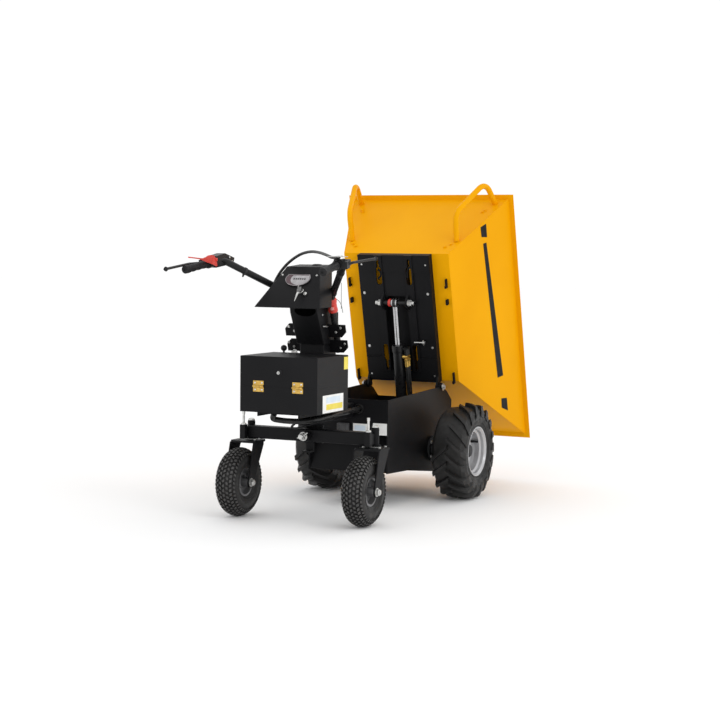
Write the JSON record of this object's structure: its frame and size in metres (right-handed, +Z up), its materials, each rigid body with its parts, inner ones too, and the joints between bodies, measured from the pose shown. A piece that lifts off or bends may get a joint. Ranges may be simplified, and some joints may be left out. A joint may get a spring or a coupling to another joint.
{
  "type": "site dumper",
  "caption": "Walk-behind electric site dumper with a forward-tipping flared tray, two lugged drive wheels and two swivelling caster wheels.",
  "frame": {"origin": "on the ground under the middle of the bounding box, tray tipped", "axes": "+X forward towards the drive wheels, +Y to the left, +Z up"},
  "size_m": [1.9757, 0.787, 1.3194],
  "materials": {
    "yellow_paint": "gloss",
    "black_paint": "satin",
    "tyre_rubber": "matte",
    "wheel_silver": "satin",
    "wheel_grey": "satin",
    "zinc": "satin",
    "chrome": "polished",
    "brass": "satin",
    "grip_rubber": "matte",
    "hose_rubber": "matte",
    "grey_plastic": "matte",
    "black_plastic": "matte",
    "machinery_grey": "matte"
  },
  "bodies": {
    "chassis": {"chassis_side_left": "black_paint", "chassis_side_right": "black_paint", "chassis_pan": "black_paint", "chassis_rear_plate": "black_paint", "neck_frame": "black_paint", "platform": "black_paint", "swing_beam": "black_paint", "beam_pivot": "zinc", "lock_pins": "zinc", "drive_axle": "black_paint", "drive_motor": "machinery_grey", "hydraulic_unit": "machinery_grey", "cylinder_mount": "black_paint", "battery_box": "black_paint", "battery_block": "black_plastic", "box_hinge_leaves": "brass", "valve_lever": "black_plastic", "column": "black_paint", "column_tabs": "black_paint", "console": "black_paint", "gauge": "grey_plastic", "key_switch": "chrome", "handlebar_left": "black_paint", "handlebar_right": "black_paint", "grip_left": "grip_rubber", "grip_right": "grip_rubber", "control_left": "black_paint", "control_right": "zinc", "throttle_cable": "hose_rubber", "hose_bundle": "hose_rubber"},
    "lid": {"battery_lid": "black_paint", "lid_hinge_leaves": "brass", "lid_lock": "zinc", "lid_latch": "zinc"},
    "tray": {"tray_floor": "yellow_paint", "tray_side_left": "yellow_paint", "tray_side_right": "yellow_paint", "tray_front": "yellow_paint", "tray_rear": "yellow_paint", "grab_loops": "yellow_paint", "tray_subframe": "black_paint", "tray_cross_shaft": "zinc", "tray_hooks": "black_paint"},
    "barrel": {"cylinder_barrel": "black_paint", "cylinder_hoses": "hose_rubber"},
    "rod": {"cylinder_rod": "chrome"},
    "drive_wheel_left": {"drive_tyre_left": "tyre_rubber", "drive_rim_left": "wheel_silver"},
    "fork_left": {"caster_fork_left": "black_paint"},
    "caster_wheel_left": {"caster_tyre_left": "tyre_rubber", "caster_rim_left": "wheel_grey"},
    "drive_wheel_right": {"drive_tyre_right": "tyre_rubber", "drive_rim_right": "wheel_silver"},
    "fork_right": {"caster_fork_right": "black_paint"},
    "caster_wheel_right": {"caster_tyre_right": "tyre_rubber", "caster_rim_right": "wheel_grey"}
  },
  "joints": [
    {"name": "tray_tip", "type": "hinge", "parent": "chassis", "child": "tray", "pos_m": [0.462, 0, 0.454], "axis": [0, -1, 0], "range_deg": [0, 76]},
    {"name": "cylinder_swing", "type": "hinge", "parent": "chassis", "child": "barrel", "pos_m": [0.481, 0, 0.22], "axis": [0, -1, 0], "range_deg": [0, 48.64]},
    {"name": "rod_slide", "type": "slide", "parent": "barrel", "child": "rod", "axis": [0.1948, 0, -0.9808], "range_m": [0, 0.15292]},
    {"name": "lid_hinge", "type": "hinge", "parent": "chassis", "child": "lid", "pos_m": [-0.6778, 0, 0.524], "axis": [0, -1, 0], "range_deg": [0, 100]},
    {"name": "drive_spin_left", "type": "hinge", "parent": "chassis", "child": "drive_wheel_left", "pos_m": [0.372, 0.316, 0.2], "axis": [0, 1, 0], "continuous": true},
    {"name": "caster_swivel_left", "type": "hinge", "parent": "chassis", "child": "fork_left", "pos_m": [-0.394, 0.267, 0.32], "axis": [0, 0, 1], "continuous": true},
    {"name": "caster_spin_left", "type": "hinge", "parent": "fork_left", "child": "caster_wheel_left", "pos_m": [-0.491, 0.267, 0.1335], "axis": [0, 1, 0], "continuous": true},
    {"name": "drive_spin_right", "type": "hinge", "parent": "chassis", "child": "drive_wheel_right", "pos_m": [0.372, -0.316, 0.2], "axis": [0, 1, 0], "continuous": true},
    {"name": "caster_swivel_right", "type": "hinge", "parent": "chassis", "child": "fork_right", "pos_m": [-0.394, -0.267, 0.32], "axis": [0, 0, 1], "continuous": true},
    {"name": "caster_spin_right", "type": "hinge", "parent": "fork_right", "child": "caster_wheel_right", "pos_m": [-0.491, -0.267, 0.1335], "axis": [0, 1, 0], "continuous": true}
  ],
  "couplings": [
    {"joint": "cylinder_swing", "follows": "tray_tip", "ratio": 0.63983},
    {"joint": "rod_slide", "follows": "tray_tip", "m_per_rad": 0.11521}
  ]
}
